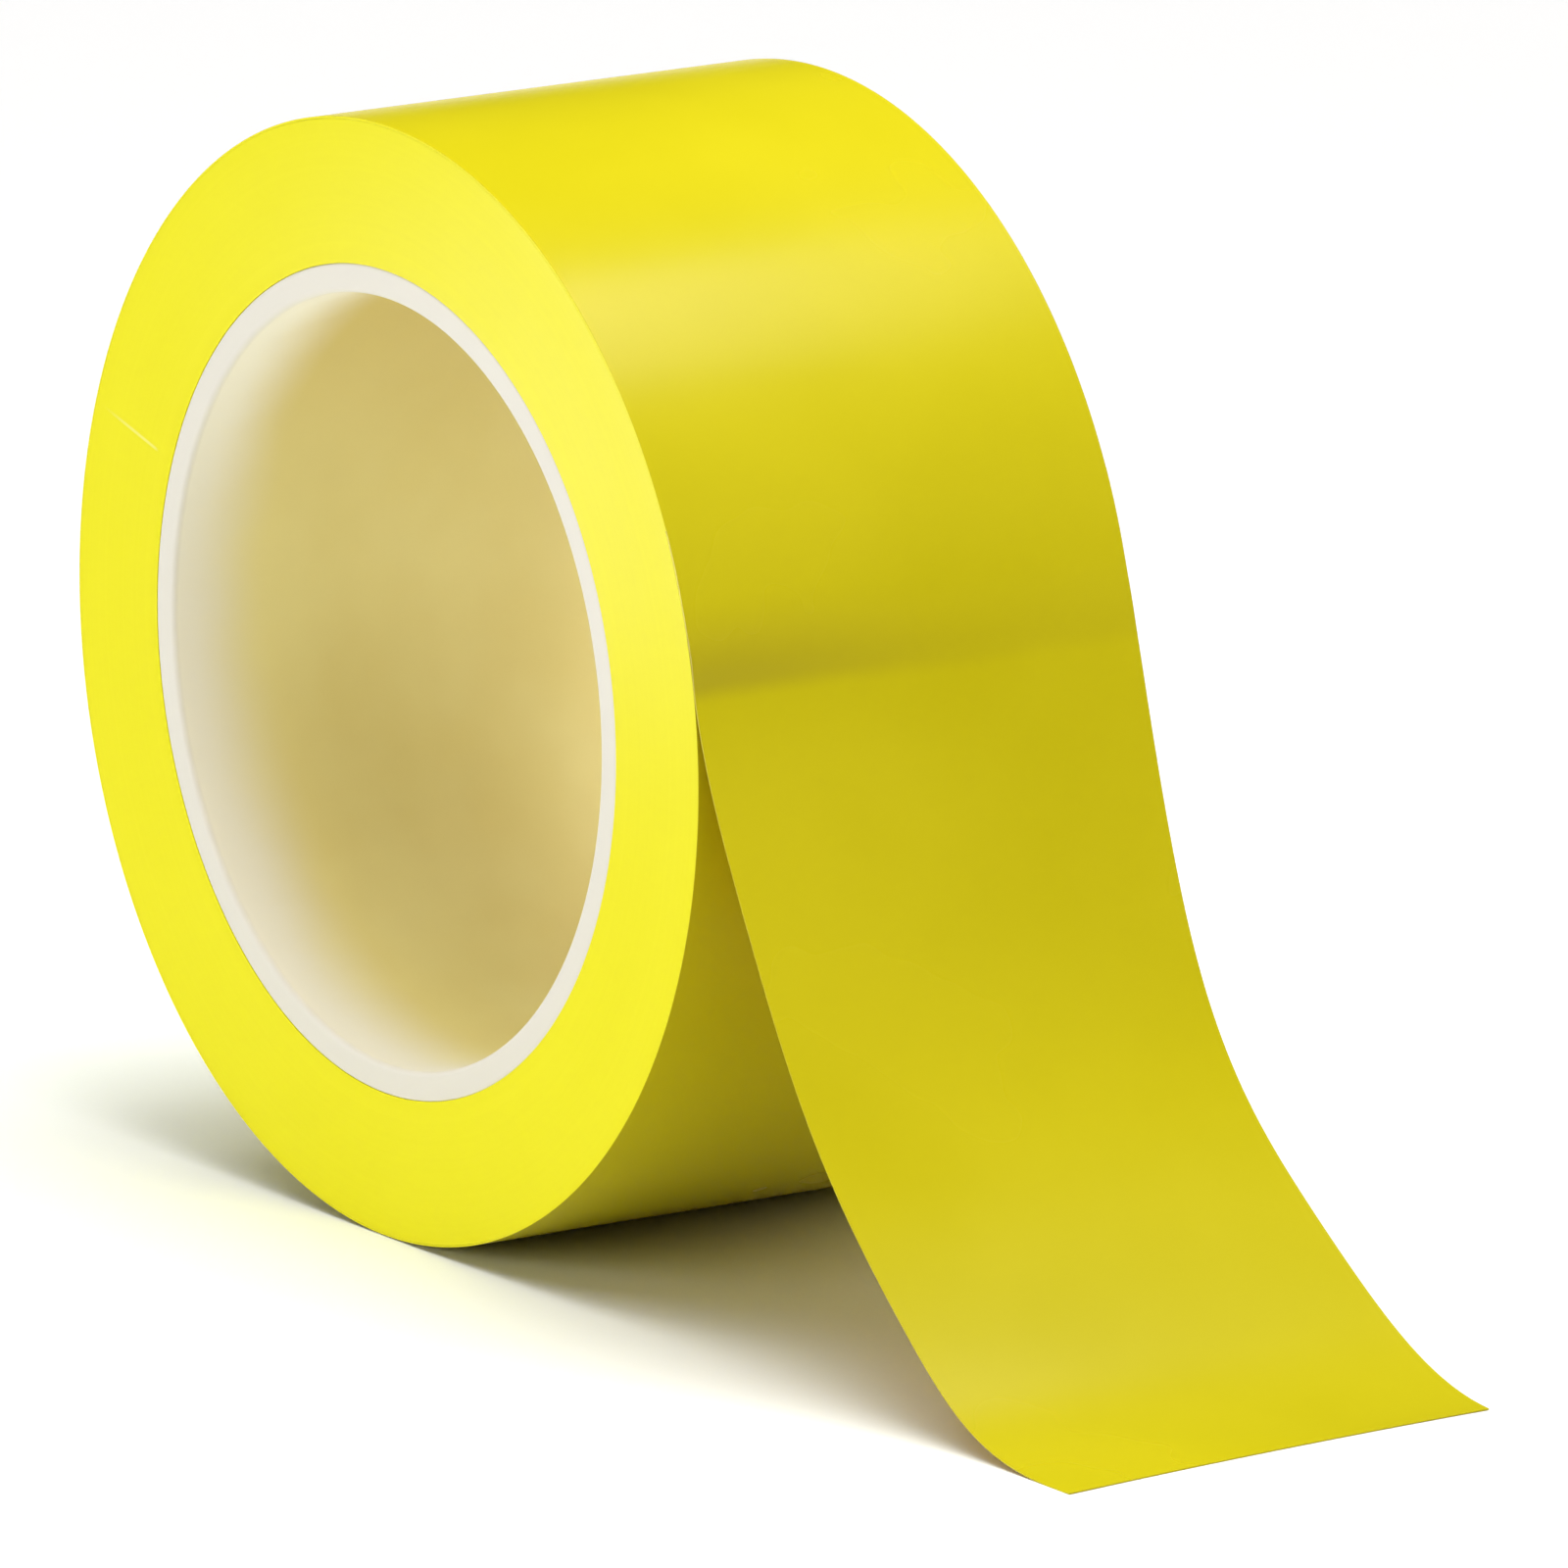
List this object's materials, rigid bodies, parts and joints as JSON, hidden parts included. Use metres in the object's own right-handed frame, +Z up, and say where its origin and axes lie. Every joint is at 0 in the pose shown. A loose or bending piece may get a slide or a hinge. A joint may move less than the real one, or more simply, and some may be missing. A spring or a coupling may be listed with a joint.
{
  "type": "masking tape roll",
  "caption": "Roll of wide glossy vinyl masking tape on a moulded plastic core, standing on its rim, with its free end peeled off and lying on the bench.",
  "frame": {"origin": "on the bench, at the middle of the flat under the roll's rim, midway across the tape's width and straight below the roll's axis", "axes": "+Z up; +Y along the roll's axis, from the side face seen first to the far one; +X the side on which the free end leaves the roll and lies on the bench"},
  "size_m": [0.1739, 0.0508, 0.1107],
  "materials": {
    "tape_vinyl": "satin to glossy vinyl film, saturated yellow",
    "core_plastic": "milky, slightly translucent moulded plastic"
  },
  "bodies": {
    "outer_turn": {"outer_turn": "tape_vinyl"},
    "roll": {"core": "core_plastic", "tape_pack": "tape_vinyl"},
    "tail_1": {"tail_1": "tape_vinyl"},
    "tail_2": {"tail_2": "tape_vinyl"},
    "tail_3": {"tail_3": "tape_vinyl"},
    "tail_4": {"tail_4": "tape_vinyl"},
    "tail_5": {"tail_5": "tape_vinyl"},
    "tail_6": {"tail_6": "tape_vinyl"},
    "tail_7": {"tail_7": "tape_vinyl"},
    "tail_8": {"tail_8": "tape_vinyl"}
  },
  "joints": [
    {"name": "unwind", "type": "hinge", "parent": "outer_turn", "child": "roll", "pos_m": [0, 0, 0.05535], "axis": [0, 1, 0], "continuous": true},
    {"name": "tail_lift", "type": "hinge", "parent": "outer_turn", "child": "tail_1", "pos_m": [0.05406, 0, 0.06883], "axis": [0, -1, 0], "range_deg": [0, 120]},
    {"name": "tail_bend_2", "type": "hinge", "parent": "tail_1", "child": "tail_2", "pos_m": [0.05763, 0, 0.05694], "axis": [0, -1, 0], "range_deg": [-5.61, 0]},
    {"name": "tail_bend_3", "type": "hinge", "parent": "tail_2", "child": "tail_3", "pos_m": [0.06236, 0, 0.04546], "axis": [0, -1, 0], "range_deg": [-5.98, 0]},
    {"name": "tail_bend_4", "type": "hinge", "parent": "tail_3", "child": "tail_4", "pos_m": [0.06825, 0, 0.03453], "axis": [0, -1, 0], "range_deg": [-6.64, 0]},
    {"name": "tail_bend_5", "type": "hinge", "parent": "tail_4", "child": "tail_5", "pos_m": [0.07536, 0, 0.02436], "axis": [0, -1, 0], "range_deg": [-7.75, 0]},
    {"name": "tail_bend_6", "type": "hinge", "parent": "tail_5", "child": "tail_6", "pos_m": [0.08378, 0, 0.01524], "axis": [0, -1, 0], "range_deg": [-9.56, 0]},
    {"name": "tip_curl", "type": "hinge", "parent": "tail_6", "child": "tail_7", "pos_m": [0.09359, 0, 0.00765], "axis": [0, -1, 0], "range_deg": [0, 60]},
    {"name": "tail_bend_8", "type": "hinge", "parent": "tail_7", "child": "tail_8", "pos_m": [0.10479, 0, 0.00235], "axis": [0, -1, 0], "range_deg": [0, 60]}
  ],
  "couplings": [
    {"joint": "tail_bend_2", "follows": "tail_lift", "ratio": -0.0467},
    {"joint": "tail_bend_3", "follows": "tail_lift", "ratio": -0.0498},
    {"joint": "tail_bend_4", "follows": "tail_lift", "ratio": -0.0553},
    {"joint": "tail_bend_5", "follows": "tail_lift", "ratio": -0.0645},
    {"joint": "tail_bend_6", "follows": "tail_lift", "ratio": -0.0796},
    {"joint": "tail_bend_8", "follows": "tip_curl", "ratio": 1}
  ]
}
